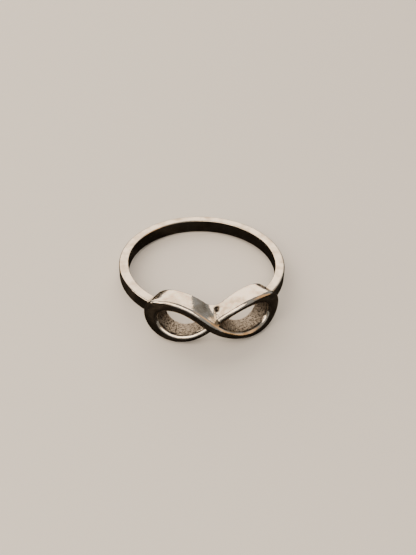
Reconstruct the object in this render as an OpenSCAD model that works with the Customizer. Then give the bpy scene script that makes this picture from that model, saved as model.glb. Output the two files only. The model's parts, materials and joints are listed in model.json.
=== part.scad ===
// A slim silver ring whose front is an infinity figure: one deep bar that crosses over itself.
// The ring lies on its side, as it comes to rest: the figure faces -Y, and the ring's own axis
// leans back a little, because the figure is taller than the band and lifts the front.

/* [Band] */
// Inside diameter of the ring
inner_d = 17.2; // [14:0.1:22]
// Thickness of the band, from the finger outwards
band_t = 1.1; // [0.8:0.05:1.6]
// Width of the band along the finger
band_w = 1.7; // [1.3:0.05:2.6]
// Radius of the band's two outer edges
band_round = 0.25; // [0.1:0.05:0.5]
// Chamfer of the band's two inner edges
band_chamfer = 0.1; // [0.05:0.01:0.2]

/* [Infinity figure] */
// Length of the figure from tip to tip, on the flat pattern that is wrapped round the ring
figure_l = 15.4; // [13:0.1:18]
// Height of the figure along the finger
figure_h = 5.45; // [4.6:0.05:6.5]
// How strongly the two lobes narrow towards the crossing
pinch = 1.2; // [0.6:0.05:1.6]
// Width of the bar along its four arms
arm_w = 0.8; // [0.6:0.05:1.1]
// Width of the bar at the two tips, where the band joins
tip_w = 1.65; // [1.2:0.05:2.2]
// How far along the bar each tip's width fades, in degrees of the figure's curve
tip_spread = 30; // [20:1:40]
// How much the upper left arm swells into its lobe
arm_swell = 0.32; // [0:0.02:0.4]
// Depth of the bar at the middle of the figure, from the finger outwards
middle_depth = 2.35; // [1.9:0.05:3]
// Depth of the bar at the two tips
tip_depth = 2.15; // [1.5:0.05:2.6]
// Radius of the bar's front edges
bar_round = 0.36; // [0.1:0.02:0.4]
// How far the bar's front face bulges between its edges
bar_crown = 0.06; // [0:0.01:0.15]

/* [Crossing] */
// How far the upper strand rises above the figure's front
upper_rise = 0.8; // [0.2:0.05:1]
// How far the lower strand sinks below the figure's front
lower_drop = 0.2; // [0.1:0.05:0.9]
// How sharply that rise and drop fade towards the tips
cross_fade = 5; // [2:0.5:16]
// Radius that fills the corner above the crossing and the one below it, at the finger
outer_fillet = 1.5; // [0.3:0.05:2]
// Radius that fills the inner corner of each lobe, at the finger
lobe_fillet = 1.1; // [0.2:0.05:1.4]

/* [Hidden] */

bore_r = inner_d / 2;
outer_r = bore_r + band_t;
// The flat pattern keeps its length at the middle of the bar's depth
wrap_r = bore_r + middle_depth / 2;
// Sections along one strand, and steps round each front edge
strand_steps = 80;
edge_steps = 4;
// The swelling is fullest at this many degrees of the curve, and fades to both sides
swell_at = -118;
swell_fade = 3;
// What the band and the bar are built past the bore's wall before the bore is cut
band_over = 0.2;
bar_over = 0.4;
// What the bore's cutter reaches past the figure
bore_past = 1;
// The resting lean is found by halving this angle so many times
settle_limit = 30;
settle_steps = 24;
$fn = 128;

// Width of the bar at t degrees of its curve: 0 and 180 are the tips, -90 and 90 the crossing
function tip_distance(t) = min(abs(t), 180 - abs(t));
function bar_w(t) = arm_w + (tip_w - arm_w) * exp(-pow(tip_distance(t) / tip_spread, 2));

// The bar from its centreline to one side. The negative side is inside the left lobe
function side_w(t, side) =
    bar_w(t) / 2 + (side < 0 ? arm_swell * pow(max(cos(t - swell_at), 0), swell_fade) : 0);

// The centreline on the flat pattern stops half a bar short of the figure's ends and edges
lobe_top = asin(sqrt(1 / (2 + pinch)));
centre_l = (figure_l - tip_w) / 2;
centre_h = (figure_h - bar_w(lobe_top)) / 2;
function squash(t) = 1 + pinch * pow(sin(t), 2);
function centre(t) = [
    centre_l * cos(t) / squash(t),
    centre_h * 2 * sqrt(1 + pinch) * sin(t) * cos(t) / squash(t)
];
// Unit normal of the centreline on the flat pattern, by a short step each way
function across(t) =
    let(step = 0.5, d = centre(t + step) - centre(t - step), l = norm(d))
    [-d[1] / l, d[0] / l];

// At the crossing each strand slopes at this angle
cross_slope = atan(2 * centre_h * sqrt(1 + pinch) / centre_l);

// The radius that the bar's front reaches, higher on the upper strand where the two cross
function bell(t) = abs(t) < 90 ? pow(cos(t), cross_fade) : 0;
function crossing_lift(t) = upper_rise * bell(t + 90) - lower_drop * bell(t - 90);
function front_r(t) =
    bore_r + middle_depth + (tip_depth - middle_depth) * pow(centre(t)[0] / centre_l, 2)
    + crossing_lift(t);

// At the finger the bar widens towards the crossing, by an arc that is tangent to the arm
function corner_fill(t, r, slope) =
    let(along = abs(centre(t)[0]) / cos(cross_slope),
        reach = (bar_w(t) / 2 + r) * tan(slope),
        x = min(max(reach - along, 0), r * sin(slope)))
    r - sqrt(r * r - x * x);
function back_w(t, side) =
    side_w(t, side) + (side * cos(t) < 0
        ? corner_fill(t, outer_fillet, cross_slope)
        : corner_fill(t, lobe_fillet, 90 - cross_slope));

// The flat pattern wraps round the ring's axis, with the figure's middle towards -Y
function wrapped(flat, r) =
    let(turn = flat[0] / wrap_r * 180 / PI)
    [r * sin(turn), -r * cos(turn), flat[1]];
function bar_point(t, offset, r) = wrapped(centre(t) + offset * across(t), r);

// A section of the bar as [offset across it, radius]: back, front edge, crown, front edge, back
function edge_r(t) = min(bar_round, bar_w(t) / 2);
function crown_at(t, side, offset) = bar_crown * (1 - pow(offset / side_w(t, side), 2));
function front_edge(t, side) = [
    for (i = [0:edge_steps])
        let(a = side < 0 ? 90 * i / edge_steps : 90 - 90 * i / edge_steps,
            offset = side * (side_w(t, side) - edge_r(t) * (1 - cos(a))))
        [offset, front_r(t) - edge_r(t) * (1 - sin(a)) + crown_at(t, side, offset)]
];
function section(t) = concat(
    [[-back_w(t, -1), bore_r - bar_over]],
    front_edge(t, -1),
    [[0, front_r(t) + bar_crown]],
    front_edge(t, 1),
    [[back_w(t, 1), bore_r - bar_over]]
);
function section_points(t) = [for (p = section(t)) bar_point(t, p[0], p[1])];

// One strand runs from tip to tip. Its end sections lie flat in the ring's mid-plane
module strand(from) {
    rings = [for (i = [0:strand_steps]) section_points(from + 180 * i / strand_steps)];
    n = len(rings[0]);
    last = strand_steps * n;
    sides = [
        for (i = [0:strand_steps - 1], j = [0:n - 1])
            let(a = i * n, b = a + n, k = (j + 1) % n)
            each [[a + j, a + k, b + k], [a + j, b + k, b + j]]
    ];
    first_end = [for (j = [1:n - 2]) [0, j + 1, j]];
    last_end = [for (j = [1:n - 2]) [last, last + j, last + j + 1]];
    polyhedron(points = [for (r = rings) each r], faces = concat(sides, first_end, last_end));
}

// The band's section: its outer edges are round, and its inner edges are chamfered and run on
// past the bore's wall, where the bore cuts them
module band_section() {
    half_w = band_w / 2;
    round_x = outer_r - band_round;
    past = bore_r - band_over;
    polygon([
        [past, -half_w + band_chamfer + band_over], [bore_r + band_chamfer, -half_w],
        [round_x, -half_w], [round_x, half_w],
        [bore_r + band_chamfer, half_w], [past, half_w - band_chamfer - band_over]
    ]);
    translate([bore_r + band_chamfer, -half_w + band_round])
        square([band_t - band_chamfer, band_w - 2 * band_round]);
    for (side = [-1, 1])
        translate([round_x, side * (half_w - band_round)]) circle(band_round);
}

// The band stops inside the tips, so that the lobes stay open to the finger
module band() {
    tip_turn = centre_l / wrap_r * 180 / PI;
    rotate([0, 0, tip_turn - 90])
        rotate_extrude(angle = 360 - 2 * tip_turn)
            band_section();
}

module bore() {
    cylinder(r = bore_r, h = figure_h + 2 * bore_past, center = true);
}

// How the ring lies: a point of it after it leans back by an angle, and its lowest places
function leaned(p, lean) = [
    p[0], p[1] * cos(lean) + p[2] * sin(lean), p[2] * cos(lean) - p[1] * sin(lean)
];
function figure_back() = [
    for (from = [-180, 0], i = [0:strand_steps], side = [-1, 1])
        let(t = from + 180 * i / strand_steps)
        bar_point(t, side * bar_w(t) / 2, bore_r)
];
function figure_low(lean) = min([for (p = figure_back()) leaned(p, lean)[2]]);
function band_edge(lean, side) =
    leaned([0, outer_r - band_round, side * (band_w / 2 - band_round)], lean);
function band_low(lean) = band_edge(lean, -1)[2] - band_round;
function settle(low, high, steps) =
    let(middle = (low + high) / 2)
    steps == 0 ? middle
    : figure_low(middle) < band_low(middle) ? settle(middle, high, steps - 1)
    : settle(low, middle, steps - 1);
rest_lean = settle(0, settle_limit, settle_steps);

// The lowest point rests at z = 0, and the origin lies under the middle of the ring's depth
figure_front = min([
    for (from = [-180, 0], i = [0:strand_steps], p = section_points(from + 180 * i / strand_steps))
        leaned(p, rest_lean)[1]
]);
band_behind = band_edge(rest_lean, 1)[1] + band_round;
module at_rest() {
    translate([0, -(figure_front + band_behind) / 2, -band_low(rest_lean)])
        rotate([-rest_lean, 0, 0])
            children();
}

module infinity_ring() {
    color("silver")
        at_rest()
            difference() {
                union() {
                    band();
                    strand(-180);
                    strand(0);
                }
                bore();
            }
}

infinity_ring();
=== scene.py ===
import json
from math import asin, atan, atan2, cos, degrees, exp, pi, radians, sin, sqrt, tan

import bmesh
import bpy
import numpy as np
from mathutils import Matrix, Quaternion, Vector, noise


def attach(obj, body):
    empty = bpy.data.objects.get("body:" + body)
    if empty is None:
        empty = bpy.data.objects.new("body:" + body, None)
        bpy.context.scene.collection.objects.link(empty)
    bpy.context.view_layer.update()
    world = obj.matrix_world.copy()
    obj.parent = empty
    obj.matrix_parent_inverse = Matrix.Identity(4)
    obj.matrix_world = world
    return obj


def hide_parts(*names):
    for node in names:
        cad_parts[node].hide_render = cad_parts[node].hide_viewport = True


# a slim sterling silver ring with an infinity figure, lying on its side on a pale table

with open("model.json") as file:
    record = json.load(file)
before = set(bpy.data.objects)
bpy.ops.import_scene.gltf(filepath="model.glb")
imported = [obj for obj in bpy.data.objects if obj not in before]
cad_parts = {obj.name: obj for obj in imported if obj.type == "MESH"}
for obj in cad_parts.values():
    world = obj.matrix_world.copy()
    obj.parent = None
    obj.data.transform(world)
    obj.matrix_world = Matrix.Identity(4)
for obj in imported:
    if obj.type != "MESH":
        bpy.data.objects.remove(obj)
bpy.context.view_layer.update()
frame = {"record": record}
print("packed ring loaded")

mm = 0.001  # the ring is modelled in millimetres on its own axis, then laid down in metres
tiny = 1e-5  # two places closer than this count as one
joinReach = 1e-4  # the bar's first and last sections are joined over this


def addNode(tree, kind, settings=None, links=None):
    # settings are the node's own values or its inputs, and links join inputs to sockets or nodes
    node = tree.nodes.new(kind)
    for name, value in (settings or {}).items():
        if isinstance(name, str) and hasattr(node, name):
            setattr(node, name, value)
        else:
            node.inputs[name].default_value = value
    for name, source in (links or {}).items():
        if isinstance(source, bpy.types.Node):
            source = next(socket for socket in source.outputs if socket.enabled)
        tree.links.new(source, node.inputs[name])
    return node


def hexColour(text):
    # sRGB hex to linear
    parts = [int(text[i:i + 2], 16) / 255 for i in (1, 3, 5)]
    return [p / 12.92 if p <= 0.04045 else ((p + 0.055) / 1.055) ** 2.4 for p in parts] + [1]


# ring sizes, in mm and degrees, as in the part's source
band = {
    "thickness": 1.1,
    "width": 1.7,
    "outerRound": 0.25,
    "innerRound": 0.12,
    "roundSteps": 8,
    "turnSteps": 300,
}

figure = {
    "length": 15.4,
    "height": 5.45,
    "pinch": 1.2,            # how strongly the lobes narrow towards the crossing
    "armWidth": 0.8,
    "tipWidth": 1.65,
    "tipSpread": 30,
    "armSwell": 0.32,        # the upper left arm swells into its lobe
    "swellAt": -118,
    "swellFade": 3,
    "middleDepth": 2.35,
    "tipDepth": 2.15,
    "frontRound": 0.36,
    "crown": 0.06,
    "upperRise": 0.8,        # the upper strand at the crossing
    "lowerDrop": 0.2,        # the lower strand there
    "crossFade": 5,          # how sharply that rise and drop fade towards the tips
    "outerFillet": 1.5,
    "lobeFillet": 1.1,
    "slopeStep": 0.5,        # degrees to each side that a slope is measured over
    "strandSteps": 560,      # sections along the whole closed bar
    "quarterSteps": 360,     # steps from a tip to the crossing, where regions are laid out
    "edgeSteps": 8,
    "wallSteps": 12,
    "faceSteps": 8,
}

bore = next(m for m in frame["record"]["mounts"] if m["name"] == "finger_bore")
boreRadius = bore["dims"]["r_mm"]
boreAxis = Vector(bore["axis"])
restPlace = (Matrix.Translation(bore["pos_m"])
             @ Matrix.Rotation(-atan2(boreAxis.y, boreAxis.z), 4, "X")
             @ Matrix.Scale(mm, 4))

outerRadius = boreRadius + band["thickness"]
wrapRadius = boreRadius + figure["middleDepth"] / 2


def barWidth(t):
    tipDistance = min(abs(t), 180 - abs(t))
    spread = exp(-(tipDistance / figure["tipSpread"]) ** 2)
    return figure["armWidth"] + (figure["tipWidth"] - figure["armWidth"]) * spread


def sideWidth(t, side):
    swell = figure["armSwell"] * max(cos(radians(t - figure["swellAt"])), 0) ** figure["swellFade"]
    return barWidth(t) / 2 + (swell if side < 0 else 0)


lobeTop = degrees(asin(sqrt(1 / (2 + figure["pinch"]))))
centreLength = (figure["length"] - figure["tipWidth"]) / 2
centreHeight = (figure["height"] - barWidth(lobeTop)) / 2
heightGain = 2 * sqrt(1 + figure["pinch"])
crossSlope = atan(centreHeight * heightGain / centreLength)


def centreLine(t):
    # the bar's middle on the flat pattern: 0 and 180 are the tips, -90 and 90 the crossing
    a = radians(t)
    squash = 1 + figure["pinch"] * sin(a) ** 2
    return Vector((centreLength * cos(a) / squash,
                   centreHeight * heightGain * sin(a) * cos(a) / squash))


def acrossBar(t):
    step = figure["slopeStep"]
    along = centreLine(t + step) - centreLine(t - step)
    return Vector((-along.y, along.x)).normalized()


def bell(t):
    # full at the crossing, nothing at the tips and on the other strand
    turn = (t + 180) % 360 - 180
    return cos(radians(turn)) ** figure["crossFade"] if abs(turn) < 90 else 0


def frontRadius(t):
    lift = figure["upperRise"] * bell(t + 90) - figure["lowerDrop"] * bell(t - 90)
    share = (centreLine(t).x / centreLength) ** 2
    depth = figure["middleDepth"] + (figure["tipDepth"] - figure["middleDepth"]) * share
    return boreRadius + depth + lift


def cornerFill(t, radius, slope):
    along = abs(centreLine(t).x) / cos(crossSlope)
    reach = (barWidth(t) / 2 + radius) * tan(slope)
    x = min(max(reach - along, 0), radius * sin(slope))
    return radius - sqrt(radius * radius - x * x)


def backWidth(t, side):
    if side * cos(radians(t)) < 0:
        return sideWidth(t, side) + cornerFill(t, figure["outerFillet"], crossSlope)
    return sideWidth(t, side) + cornerFill(t, figure["lobeFillet"], pi / 2 - crossSlope)


def onRing(flat, radius):
    # the flat pattern wraps round the axis with its middle towards -Y
    turn = flat.x / wrapRadius
    return Vector((radius * sin(turn), -radius * cos(turn), flat.y))


def pointsBetween(a, b, count):
    return [(a[0] + (b[0] - a[0]) * i / count, a[1] + (b[1] - a[1]) * i / count)
            for i in range(1, count)]


def barSection(t, backRadius):
    # offset across the bar and radius, once round: back, wall, front edge, crown, front edge, wall
    edge = min(figure["frontRound"], barWidth(t) / 2)
    front = frontRadius(t)

    def frontPoint(offset, drop):
        share = offset / sideWidth(t, offset)
        return (offset, front - drop + figure["crown"] * (1 - share ** 2))

    def frontEdge(side):
        corner = [radians(90 * i / figure["edgeSteps"]) for i in range(figure["edgeSteps"] + 1)]
        return [frontPoint(side * (sideWidth(t, side) - edge * (1 - cos(a))), edge * (1 - sin(a)))
                for a in corner]

    leftEdge, rightEdge = frontEdge(-1), frontEdge(1)[::-1]
    start, end = leftEdge[-1][0], rightEdge[0][0]
    face = [frontPoint(start + (end - start) * i / figure["faceSteps"], 0)
            for i in range(1, figure["faceSteps"])]
    left, right = (-backWidth(t, -1), backRadius), (backWidth(t, 1), backRadius)
    return ([left] + pointsBetween(left, leftEdge[0], figure["wallSteps"])
            + leftEdge + face + rightEdge
            + pointsBetween(rightEdge[-1], right, figure["wallSteps"]) + [right]
            + pointsBetween(right, left, figure["faceSteps"]) + [left])


def figureBar(mesh):
    # one closed bar that crosses over itself, shaped from a flat grid
    along = figure["strandSteps"]
    turns = [360 * i / along - 180 for i in range(along + 1)]
    sections = [barSection(t, boreRadius) for t in turns]
    around = len(sections[0]) - 1
    made = bmesh.ops.create_grid(mesh, x_segments=along, y_segments=around, size=0.5)
    for vert in made["verts"]:
        i, j = round((vert.co.x + 0.5) * along), round((vert.co.y + 0.5) * around)
        offset, radius = sections[i][j]
        vert.co = onRing(centreLine(turns[i]) + offset * acrossBar(turns[i]), radius)
    bmesh.ops.remove_doubles(mesh, verts=made["verts"], dist=joinReach)
    bmesh.ops.recalc_face_normals(mesh, faces=mesh.faces)


def hoop(mesh):
    # the open band: a bevelled rectangle spun from tip to tip behind the figure
    corners = bmesh.ops.create_grid(mesh, x_segments=1, y_segments=1, size=0.5)["verts"]
    middle = boreRadius + band["thickness"] / 2
    for vert in corners:
        vert.co = Vector((middle + vert.co.x * band["thickness"], 0, vert.co.y * band["width"]))
    for side, radius in ((1, band["outerRound"]), (-1, band["innerRound"])):
        wallX = middle + side * band["thickness"] / 2
        edge = [v for v in mesh.verts if abs(v.co.x - wallX) < tiny]
        bmesh.ops.bevel(mesh, geom=edge, affect="VERTICES", offset=radius, offset_type="OFFSET",
                        segments=band["roundSteps"], profile=0.5, material=-1)
    tipTurn = centreLength / wrapRadius
    bmesh.ops.rotate(mesh, verts=mesh.verts, cent=(0, 0, 0),
                     matrix=Matrix.Rotation(tipTurn - pi / 2, 3, "Z"))
    bmesh.ops.spin(mesh, geom=mesh.faces[:] + mesh.edges[:] + mesh.verts[:], cent=(0, 0, 0),
                   axis=(0, 0, 1), angle=2 * (pi - tipTurn), steps=band["turnSteps"])
    ends = [e for e in mesh.edges if e.is_boundary]
    if ends:
        bmesh.ops.holes_fill(mesh, edges=ends)
    bmesh.ops.recalc_face_normals(mesh, faces=mesh.faces)


casting = {
    "fuseGrain": 0.079,      # size of the faces that fuse band and figure
    "softening": 2,          # passes that take the steps out and leave worn edges
    "softShare": 0.5,        # how far each pass goes
    "skinDepth": 0.11,       # height of the rough casting skin inside the lobes
    "skinGrain": 0.18,
    "polishedRim": 0.42,     # depth below the front edge that the buffing wheel reached
    "rimLine": 0.09,         # width of the dirty line where the buffing stopped
    "rimWander": 0.14,       # how far that line wanders, and over what length
    "wanderLength": 0.5,
    "roughEndX": 5.9,        # the right lobe's end is less well buffed: place, reach, extra width
    "roughEndZ": -0.8,
    "roughEndReach": 0.65,
    "roughEndWidth": 0.28,
    "seamShadeWidth": 0.12,       # width of the painted shade line on the band's top beside the figure, where the band's ends meet it
    "seamShadeShift": 0.05,       # how far beside the figure it runs
    "seamShadeStrength": 1.6,     # before it is cut off at 1
    "seamShadeReach": 0.05,       # how far out past the band's surface it is looked for
    "seamShadeSide": 0.1,         # the same past the band's sides
    "tipArc": 30,            # degrees of the curve to each side of a tip that it follows
    # stains, painted shade and dents of the casting: flat place, height, radius, size and strength
    "stainsAndShade": (
        # dirt and painted shade in the casting pit at the crossing, which the dents also sink
        (0.30, 1.02, 9.15, 0.26, 3.0),
        (0.28, 0.95, 9.45, 0.22, 3.0),
        # painted shade: darkens the upper strand's raised wall beside the crossing, in place of a
        # dark reflection
        (0.24, 0.4, 10.85, 0.3, 1.2),
        (5.75, -0.75, 10.35, 0.1, 1.0),
    ),
    "dents": (
        (0.28, 1.0, 9.2, 0.2, 1.0),
        (0.26, 0.95, 9.45, 0.18, 1.0),
    ),
    "dentDepth": 0.1,
    "hollowReach": 8,        # neighbours that a hollow or an edge is judged over
    "hollowDirt": 0.8,       # share of dirt in a hollow, and in the corner behind each tip
    "cornerDirt": 0.3,
    "cornerRise": 0.1,       # how far above the finger's wall that corner begins
    "leastShare": 0.01,      # smaller shares of a region are left out
}


def fusedRing():
    # band and figure fused into one skin, then softened as casting and wear leave it
    data, hoopData = bpy.data.meshes.new("infinityRingSilver"), bpy.data.meshes.new("hoop")
    mesh, hoopMesh = bmesh.new(), bmesh.new()
    figureBar(mesh)
    hoop(hoopMesh)
    hoopMesh.to_mesh(hoopData)
    mesh.from_mesh(hoopData)
    mesh.to_mesh(data)
    hoopMesh.free()
    mesh.free()
    bpy.data.meshes.remove(hoopData)

    piece = bpy.data.objects.new("infinityRingSilver", data)
    bpy.context.scene.collection.objects.link(piece)
    fuse = piece.modifiers.new("fuse", "REMESH")
    fuse.mode = "VOXEL"
    fuse.voxel_size = casting["fuseGrain"]
    soften = piece.modifiers.new("soften", "SMOOTH")
    soften.factor = casting["softShare"]
    soften.iterations = casting["softening"]
    bakeModifiers(piece)
    return piece


def bakeModifiers(piece):
    old = piece.data
    shaped = piece.evaluated_get(bpy.context.evaluated_depsgraph_get())
    made = bpy.data.meshes.new_from_object(shaped)
    piece.modifiers.clear()
    piece.data = made
    bpy.data.meshes.remove(old)
    made.name = piece.name
    for face in made.polygons:
        face.use_smooth = True


def meshArrays(data):
    places = np.empty(len(data.vertices) * 3)
    data.vertices.foreach_get("co", places)
    normals = np.empty(len(data.vertices) * 3)
    data.vertices.foreach_get("normal", normals)
    edges = np.empty(len(data.edges) * 2, dtype=int)
    data.edges.foreach_get("vertices", edges)
    return places.reshape(-1, 3), normals.reshape(-1, 3), edges.reshape(-1, 2)


def averaged(values, edges, passes):
    # each pass takes the mean of a vertex's neighbours
    a, b = edges[:, 0], edges[:, 1]
    count = np.bincount(a, minlength=len(values)) + np.bincount(b, minlength=len(values))
    for step in range(passes):
        total = [np.bincount(a, column[b], len(values)) + np.bincount(b, column[a], len(values))
                 for column in values.T]
        values = 0.5 * values + 0.5 * np.stack(total, 1) / count[:, None]
    return values


def fade(values, low, high):
    share = np.clip((values - low) / (high - low), 0, 1)
    return share * share * (3 - 2 * share)


# where each region fades in, as its lowest and highest value
fades = {
    "insideLobe": (0.02, 0.2),     # mm inside the bar's middle line
    "facingOut": (0.5, 0.85),      # how far a face looks away from the finger
    "belowRim": (-0.06, 0.1),      # mm below the buffed rim
    "rimStart": (0.8, 1.6),        # mm from the crossing, along the flat pattern
    "cornerBack": (0.2, 0.45),     # how far a face looks to the back
    "cornerStart": (5.6, 6.4),     # mm from the crossing: the corner behind a tip begins
    "cornerEnd": (7.8, 8.2),       # and ends
    "flatSide": (0.75, 0.95),      # how far a face looks along the ring's axis
    "satinStart": (0, 0.4),        # mm past a tip's middle
    "hollow": (0.004, 0.03),       # mm that a vertex lies below or above its neighbours' mean
    "worn": (0.006, 0.03),
}


def seamShade(places, flatX, radius):
    # painted shade: a dark line on the band's top beside each tip, where the band's end meets the
    # figure
    arc = casting["tipArc"]
    turns = np.linspace(-arc, arc, 4 * arc + 1)
    bar = np.array([[*centreLine(t), barWidth(t) / 2] for t in turns])
    near = flatX > centreLength
    near &= radius < outerRadius + casting["seamShadeReach"]
    near &= np.abs(places[:, 2]) < band["width"] / 2 + casting["seamShadeSide"]
    apart = np.hypot(flatX[near, None] - bar[:, 0], places[near, 2][:, None] - bar[:, 1])
    apart -= bar[:, 2]
    off = (apart.min(1) - casting["seamShadeShift"]) / casting["seamShadeWidth"]
    paintedShade = np.zeros(len(places))
    paintedShade[near] = np.minimum(casting["seamShadeStrength"] * np.exp(-off ** 2), 1)
    return paintedShade


def spotShare(places, spots):
    # full at each spot's middle and fading round it
    share = np.zeros(len(places))
    for flat, z, spotRadius, size, strength in spots:
        away = places - np.array(onRing(Vector((flat, z)), spotRadius))
        spot = np.minimum(strength * np.exp(-(away ** 2).sum(1) / size ** 2), 1)
        np.maximum(share, spot, out=share)
    return share


def regions(data):
    # where the casting skin, the satin edges, the hollows with their dirt and painted shade, and
    # the worn edges lie, from 0 to 1
    places, normals, edges = meshArrays(data)
    radius = np.hypot(places[:, 0], places[:, 1])
    flatX = wrapRadius * np.abs(np.arctan2(places[:, 0], -places[:, 1]))

    # the upper strand runs from the upper left to the lower right
    turns = np.linspace(0, 90, figure["quarterSteps"] + 1)
    line = np.array([centreLine(t) for t in turns])[::-1]
    upperFront = np.array([frontRadius(-t) for t in turns])[::-1]
    lowerFront = np.array([frontRadius(t) for t in turns])[::-1]
    height = np.interp(flatX, line[:, 0], line[:, 1], right=-1)
    onUpper = places[:, 0] * places[:, 2] < 0
    front = np.where(onUpper, np.interp(flatX, line[:, 0], upperFront),
                     np.interp(flatX, line[:, 0], lowerFront))

    # the lobes' inner walls stay as cast below a wandering line
    outward = (normals[:, 0] * places[:, 0] + normals[:, 1] * places[:, 1]) / radius
    inLobe = fade(height - np.abs(places[:, 2]), *fades["insideLobe"])
    wall = 1 - fade(np.abs(outward), *fades["facingOut"])
    wander = np.zeros(len(places))
    for index in np.flatnonzero(inLobe * wall > casting["leastShare"]):
        spot = Vector(places[index]) / casting["wanderLength"]
        wander[index] = casting["rimWander"] * noise.noise(spot)
    below = front - radius + wander - casting["polishedRim"]
    cast = inLobe * wall * fade(below, *fades["belowRim"])

    # the dirty line is wider at the right lobe's end
    away = (flatX - casting["roughEndX"]) ** 2 + (places[:, 2] - casting["roughEndZ"]) ** 2
    roughEnd = np.exp(-away / casting["roughEndReach"] ** 2) * (places[:, 0] > 0)
    lineWidth = casting["rimLine"] + casting["roughEndWidth"] * roughEnd
    rimLine = np.exp(-(below / lineWidth) ** 2)

    # the corner behind each tip is hard to reach with the wheel
    corner = fade(normals[:, 1], *fades["cornerBack"]) * fade(flatX, *fades["cornerStart"])
    corner *= 1 - fade(flatX, *fades["cornerEnd"])
    corner *= radius > boreRadius + casting["cornerRise"]
    corner *= np.abs(normals[:, 2]) < fades["flatSide"][1]

    satin = fade(np.abs(normals[:, 2]), *fades["flatSide"])
    satin *= fade(flatX - centreLength, *fades["satinStart"])
    bend = averaged(places, edges, casting["hollowReach"]) - places
    bend = averaged(np.einsum("ij,ij->i", bend, normals)[:, None], edges, 1)[:, 0]
    return {
        "castSkin": cast,
        "satinEdge": satin,
        # tarnish in the hollows, the painted shade line beside each tip, the stains with their
        # painted shade, and the dirt in the corners behind the tips
        "hollow": np.maximum.reduce([
            casting["hollowDirt"] * fade(bend, *fades["hollow"]),
            seamShade(places, flatX, radius),
            spotShare(places, casting["stainsAndShade"]),
            casting["cornerDirt"] * corner,
        ]),
        "rimLine": inLobe * wall * rimLine * fade(flatX, *fades["rimStart"]),
        "wornEdge": fade(-bend, *fades["worn"]),
        "dent": spotShare(places, casting["dents"]),
    }


ring = fusedRing()
shares = regions(ring.data)
print("band and figure fused:", len(ring.data.vertices), "vertices")

for name in ("castSkin", "dent"):
    group = ring.vertex_groups.new(name=name)
    for index in np.flatnonzero(shares[name] > casting["leastShare"]):
        group.add([int(index)], shares[name][index], "REPLACE")
grains = bpy.data.textures.new("casting grains", "CLOUDS")
grains.noise_scale = casting["skinGrain"]
grains.noise_depth = 1
rough = ring.modifiers.new("casting skin", "DISPLACE")
rough.texture, rough.vertex_group = grains, "castSkin"
rough.texture_coords = "LOCAL"
rough.strength = casting["skinDepth"]
rough.mid_level = 0.5  # the texture's mean, so the skin goes in as far as out
dented = ring.modifiers.new("dents", "DISPLACE")
dented.vertex_group = "dent"
dented.strength = -casting["dentDepth"]
dented.mid_level = 0
bakeModifiers(ring)
ring.vertex_groups.clear()
for name, values in shares.items():
    layer = ring.data.attributes.new(name, "FLOAT", "POINT")
    layer.data.foreach_set("value", values)
ring.data.calc_loop_triangles()
print("casting skin and regions laid:", len(ring.data.loop_triangles), "triangles")

ring.data.transform(restPlace)
ring.data.update()


# sterling silver, cast, then buffed outside: mirror-like where the wheel reached, with fine
# hairlines and soft waves, satin on the band's flat edges, and dull, grainy and pinkish grey
# inside the lobes
finish = {
    "buffed": "#EBE2D3",
    "warmer": "#BDAF9B",          # thin patches of tarnish, as finger grease leaves them
    "casting": "#A39A8E",
    "pitAndShade": "#1A1511",             # dirt and tarnish that stay in the pits, and painted shade beside the tips and the crossing
    "buffedRoughness": 0.11,
    "satinRoughness": 0.3,
    "castingRoughness": 0.5,
    "hollowRoughness": 0.15,      # added in a hollow
    "scratchRoughness": 0.07,     # added in a hairline
    "roughnessSpread": (-0.02, 0.04),
    # sizes of the patterns in metres
    "patchSize": 0.0013,
    "waveSize": 0.0016,
    "grainSize": 0.00016,
    "gapSize": 0.00032,           # gaps in the dirty line
    "streakSize": 0.00025,        # the wheel drags the dirt of a hollow into streaks, and the painted shade is streaked the same way
    "streakStretch": (1, 1, 0.25),
    "streakTurn": (0.5, 0.6, 0),
    "scratchSize": 0.00005,       # real hairlines are ten times finer
    # two crossing sets of hairlines, each with its stretch and its turn
    "scratchSets": (((1, 0.06, 1), (0, 0, 0.5)), ((0.08, 1, 1), (0, 0, -0.3))),
    # values of each noise at which its pattern begins and is full
    "pitRange": (0.52, 0.40),
    "streakRange": (0.3, 0.5),
    "gapRange": (0.4, 0.5),
    "warmRange": (0.42, 0.68),
    "patchRange": (0.3, 0.7),
    "scratchRange": (0.9, 1.2),   # the two sets are added up
    # share of dirt where each pattern is full
    "pitDirt": 0.85,
    "lineDirt": 0.9,
    "leastStreak": 0.7,
    "bareShare": 0.6,             # how clean a worn edge is rubbed
    # strength and height in metres of each relief
    "waveRelief": (0.7, 0.0001),
    "scratchRelief": (0.15, 0.000004),
    "skinRelief": (0.9, 0.00006),
}


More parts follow.
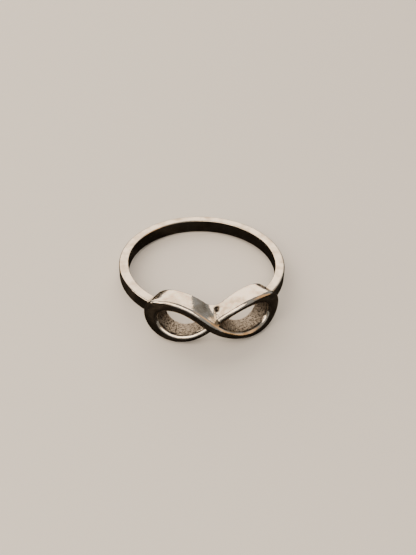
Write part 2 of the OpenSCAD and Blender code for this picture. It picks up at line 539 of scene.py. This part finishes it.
def silverMaterial():
    material = bpy.data.materials.new("sterling silver, cast and buffed")
    material.use_nodes = True
    tree = material.node_tree
    shader = tree.nodes["Principled BSDF"]
    spot = addNode(tree, "ShaderNodeTexCoord").outputs["Object"]
    share = {name: addNode(tree, "ShaderNodeAttribute", {"attribute_name": name}).outputs["Fac"]
             for name in ("castSkin", "satinEdge", "hollow", "wornEdge", "rimLine")}
    grain = addNode(tree, "ShaderNodeTexNoise",
                    {"Scale": 1 / finish["grainSize"], "Detail": 3}, {"Vector": spot})
    patches = addNode(tree, "ShaderNodeTexNoise",
                      {"Scale": 1 / finish["patchSize"], "Detail": 3}, {"Vector": spot})

    # dirt and painted shade: pits of the cast skin, hollows and marks, the painted shade beside
    # each tip and the crossing, and the broken line where the buffing stopped
    pits = addNode(tree, "ShaderNodeMapRange",
                   {"From Min": finish["pitRange"][0], "From Max": finish["pitRange"][1],
                    "To Max": finish["pitDirt"]}, {"Value": grain})
    pits = addNode(tree, "ShaderNodeMath", {"operation": "MULTIPLY"},
                   {0: pits, 1: share["castSkin"]})
    streaks = addNode(tree, "ShaderNodeMapping",
                      {"Scale": finish["streakStretch"], "Rotation": finish["streakTurn"]},
                      {"Vector": spot})
    streaks = addNode(tree, "ShaderNodeTexNoise",
                      {"Scale": 1 / finish["streakSize"], "Detail": 2}, {"Vector": streaks})
    streaks = addNode(tree, "ShaderNodeMapRange",
                      {"From Min": finish["streakRange"][0],
                       "From Max": finish["streakRange"][1],
                       "To Min": finish["leastStreak"]}, {"Value": streaks})
    hollowsAndShade = addNode(tree, "ShaderNodeMath", {"operation": "MULTIPLY"},
                      {0: share["hollow"], 1: streaks})
    gaps = addNode(tree, "ShaderNodeTexNoise", {"Scale": 1 / finish["gapSize"]},
                   {"Vector": spot})
    gaps = addNode(tree, "ShaderNodeMapRange",
                   {"From Min": finish["gapRange"][0], "From Max": finish["gapRange"][1],
                    "To Max": finish["lineDirt"]}, {"Value": gaps})
    line = addNode(tree, "ShaderNodeMath", {"operation": "MULTIPLY"},
                   {0: gaps, 1: share["rimLine"]})
    dirtAndShade = addNode(tree, "ShaderNodeMath", {"operation": "MAXIMUM"}, {0: pits, 1: hollowsAndShade})
    dirtAndShade = addNode(tree, "ShaderNodeMath", {"operation": "MAXIMUM"}, {0: dirtAndShade, 1: line})

    # colour: warm patches on the silver, the cast skin, the dirt and painted shade, and edges
    # rubbed clean
    warmth = addNode(tree, "ShaderNodeMapRange",
                     {"From Min": finish["warmRange"][0], "From Max": finish["warmRange"][1]},
                     {"Value": patches})
    colour = addNode(tree, "ShaderNodeMix",
                     {"data_type": "RGBA", 6: hexColour(finish["buffed"]),
                      7: hexColour(finish["warmer"])}, {"Factor": warmth})
    bare = addNode(tree, "ShaderNodeMath", {"operation": "MULTIPLY", 1: finish["bareShare"]},
                   {0: share["wornEdge"]})
    for tone, factor in (("casting", share["castSkin"]), ("pitAndShade", dirtAndShade), ("buffed", bare)):
        colour = addNode(tree, "ShaderNodeMix",
                         {"data_type": "RGBA", 7: hexColour(finish[tone])},
                         {"Factor": factor, 6: colour})
    tree.links.new(colour.outputs[2], shader.inputs["Base Color"])

    scratches = None
    for stretch, turn in finish["scratchSets"]:
        place = addNode(tree, "ShaderNodeMapping", {"Scale": stretch, "Rotation": turn},
                        {"Vector": spot})
        lines = addNode(tree, "ShaderNodeTexNoise",
                        {"Scale": 1 / finish["scratchSize"], "Detail": 1}, {"Vector": place})
        if scratches:
            lines = addNode(tree, "ShaderNodeMath", {"operation": "ADD"},
                            {0: scratches, 1: lines})
        scratches = lines

    buffed = finish["buffedRoughness"]
    smoothest, roughest = (buffed + spread for spread in finish["roughnessSpread"])
    roughness = addNode(tree, "ShaderNodeMapRange",
                        {"From Min": finish["patchRange"][0], "From Max": finish["patchRange"][1],
                         "To Min": smoothest, "To Max": roughest}, {"Value": patches})
    for area, added in (("satinEdge", finish["satinRoughness"] - buffed),
                        ("castSkin", finish["castingRoughness"] - buffed),
                        ("hollow", finish["hollowRoughness"])):
        roughness = addNode(tree, "ShaderNodeMath", {"operation": "MULTIPLY_ADD", 1: added},
                            {0: share[area], 2: roughness})
    scratched = addNode(tree, "ShaderNodeMapRange",
                        {"From Min": finish["scratchRange"][0],
                         "From Max": finish["scratchRange"][1],
                         "To Max": finish["scratchRoughness"]}, {"Value": scratches})
    roughness = addNode(tree, "ShaderNodeMath", {"operation": "ADD"},
                        {0: roughness, 1: scratched})
    tree.links.new(roughness.outputs[0], shader.inputs["Roughness"])
    shader.inputs["Metallic"].default_value = 1

    # relief: waves that the wheel leaves, hairlines, and the grain of the cast skin
    waves = addNode(tree, "ShaderNodeTexNoise",
                    {"Scale": 1 / finish["waveSize"], "Detail": 3}, {"Vector": spot})
    skin = addNode(tree, "ShaderNodeMath", {"operation": "MULTIPLY"},
                   {0: grain, 1: share["castSkin"]})
    relief = None
    for kind, height in (("waveRelief", waves), ("scratchRelief", scratches),
                         ("skinRelief", skin)):
        strength, distance = finish[kind]
        links = {"Height": height, "Normal": relief} if relief else {"Height": height}
        relief = addNode(tree, "ShaderNodeBump", {"Strength": strength, "Distance": distance},
                         links)
    tree.links.new(relief.outputs["Normal"], shader.inputs["Normal"])
    return material


ring.data.materials.clear()
ring.data.materials.append(silverMaterial())
print("silver made")

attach(ring, "root")
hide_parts("infinity_ring")

# studio: a pale table and wall, a broad soft light behind and above, smaller ones at the front
# and the left, and a warm lamp on the right. A black card lies under the ring, met by reflections
# alone, and keeps the mirror-like faces dark
studio = {
    "tableColour": "#ECEAE6",
    "tableRadius": 2.0,
    "roundSteps": 96,
    "wallRadius": 0.3,
    "wallAngle": 80,
    "wallSteps": 16,
    "wallColour": "#F6E1CF",
    "wallGlow": 1.4,
    "cardColour": "#1B1A19",
    "cardFibre": "#363330",
    "fibreScale": 220,
    "cardSize": 0.7,
    "cardLift": 0.00002,
    "softColour": "#FFE7CC",
    "lampColour": "#FFB020",
    "worldColour": "#D9D8D6",
    "worldStrength": 0.45,
}

# soft lights, all turned to the ring: place, width and height, power and colour
softboxes = {
    "keyBehind": ((-0.045, 0.30, 0.22), (0.66, 0.42), 2.2, studio["softColour"]),
    "frontLeft": ((-0.11, -0.17, 0.26), (0.34, 0.2), 0.8, studio["softColour"]),
    "sideLeft": ((-0.33, -0.03, 0.07), (0.25, 0.12), 0.3, studio["softColour"]),
    "highLeft": ((-0.205, -0.095, 0.155), (0.18, 0.09), 0.13, studio["softColour"]),
    "warmLamp": ((0.246, -0.056, 0.13), (0.19, 0.34), 0.13, studio["lampColour"]),
}
softboxAim = Vector((0, 0, 0.002))


def plainMaterial(label, colour):
    material = bpy.data.materials.new(label)
    material.use_nodes = True
    shader = material.node_tree.nodes["Principled BSDF"]
    shader.inputs["Base Color"].default_value = hexColour(colour)
    shader.inputs["Roughness"].default_value = 1
    shader.inputs["Specular IOR Level"].default_value = 0
    return material


def stagePiece(name, mesh, material):
    data = bpy.data.meshes.new(name)
    mesh.to_mesh(data)
    mesh.free()
    for face in data.polygons:
        face.use_smooth = True
    data.materials.append(material)
    made = bpy.data.objects.new(name, data)
    bpy.context.scene.collection.objects.link(made)
    return made


def paleTable():
    mesh = bmesh.new()
    bmesh.ops.create_circle(mesh, cap_ends=True, segments=studio["roundSteps"],
                            radius=studio["tableRadius"])
    return stagePiece("paleTable", mesh, plainMaterial("matt paper", studio["tableColour"]))


def paleWall():
    # a short arc spun round the table, evenly lit and seen by the camera alone
    mesh = bmesh.new()
    radius = studio["wallRadius"]
    foot = bmesh.ops.create_vert(mesh, co=(radius, 0, 0))["vert"]
    bmesh.ops.spin(mesh, geom=foot, cent=(radius, 0, radius), axis=(0, -1, 0),
                   angle=radians(studio["wallAngle"]), steps=studio["wallSteps"])
    bmesh.ops.spin(mesh, geom=mesh.verts[:] + mesh.edges[:], cent=(0, 0, 0), axis=(0, 0, 1),
                   angle=2 * pi, steps=studio["roundSteps"], use_merge=True)
    bmesh.ops.recalc_face_normals(mesh, faces=mesh.faces)
    material = plainMaterial("lit paper", studio["tableColour"])
    shader = material.node_tree.nodes["Principled BSDF"]
    shader.inputs["Base Color"].default_value = (0, 0, 0, 1)
    shader.inputs["Emission Color"].default_value = hexColour(studio["wallColour"])
    shader.inputs["Emission Strength"].default_value = studio["wallGlow"]
    wall = stagePiece("paleWall", mesh, material)
    wall.visible_diffuse = wall.visible_glossy = False
    wall.visible_shadow = wall.visible_transmission = False


def blackCard():
    mesh = bmesh.new()
    bmesh.ops.create_grid(mesh, x_segments=1, y_segments=1, size=studio["cardSize"] / 2)
    bmesh.ops.translate(mesh, verts=mesh.verts, vec=(0, 0, studio["cardLift"]))
    material = plainMaterial("black card", studio["cardColour"])
    tree = material.node_tree
    spot = addNode(tree, "ShaderNodeTexCoord").outputs["Object"]
    fibres = addNode(tree, "ShaderNodeTexNoise",
                     {"Scale": studio["fibreScale"], "Detail": 2, "Distortion": 1},
                     {"Vector": spot})
    fibres = addNode(tree, "ShaderNodeMapRange", {"From Min": 0.45, "From Max": 0.75},
                     {"Value": fibres})
    colour = addNode(tree, "ShaderNodeMix",
                     {"data_type": "RGBA", 6: hexColour(studio["cardColour"]),
                      7: hexColour(studio["cardFibre"])}, {"Factor": fibres})
    tree.links.new(colour.outputs[2], tree.nodes["Principled BSDF"].inputs["Base Color"])
    card = stagePiece("blackCard", mesh, material)
    card.visible_camera = card.visible_diffuse = False
    card.visible_shadow = card.visible_transmission = False


paleTable()
paleWall()
blackCard()


def softbox(name, place, size, power, colour):
    light = bpy.data.lights.new(name, "AREA")
    light.shape = "RECTANGLE"
    light.size, light.size_y = size
    light.energy = power
    light.color = hexColour(colour)[:3]
    lamp = bpy.data.objects.new(name, light)
    bpy.context.scene.collection.objects.link(lamp)
    lamp.location = place
    lamp.rotation_euler = (softboxAim - Vector(place)).to_track_quat("-Z", "Y").to_euler()
    lamp.visible_camera = False
    return lamp


lamps = {name: softbox(name, *values) for name, values in softboxes.items()}
lamps["warmLamp"].visible_diffuse = False  # only its glow on the polished rims is wanted

world = bpy.data.worlds.new("studio")
world.use_nodes = True
background = world.node_tree.nodes["Background"]
background.inputs["Color"].default_value = hexColour(studio["worldColour"])
background.inputs["Strength"].default_value = studio["worldStrength"]
bpy.context.scene.world = world

# the photograph's own viewpoint, as fitted to the ring's edges
cameraView = {
    "place": (-0.011317, -0.062387, 0.060815),
    "aim": (0.000404, -0.001093, 0.002),
    "roll": 3.484,
    "lens": 47.984,
    "sensor": 36,
    "clip": (0.001, 20),
}
cameraData = bpy.data.cameras.new("camera")
cameraData.lens = cameraView["lens"]
cameraData.sensor_width = cameraView["sensor"]
cameraData.clip_start, cameraData.clip_end = cameraView["clip"]
camera = bpy.data.objects.new("camera", cameraData)
bpy.context.scene.collection.objects.link(camera)
camera.location = cameraView["place"]
camera.rotation_mode = "QUATERNION"
look = (Vector(cameraView["aim"]) - Vector(cameraView["place"])).to_track_quat("-Z", "Y")
camera.rotation_quaternion = look @ Quaternion((0, 0, 1), radians(cameraView["roll"]))
bpy.context.scene.camera = camera
print("studio and camera set")
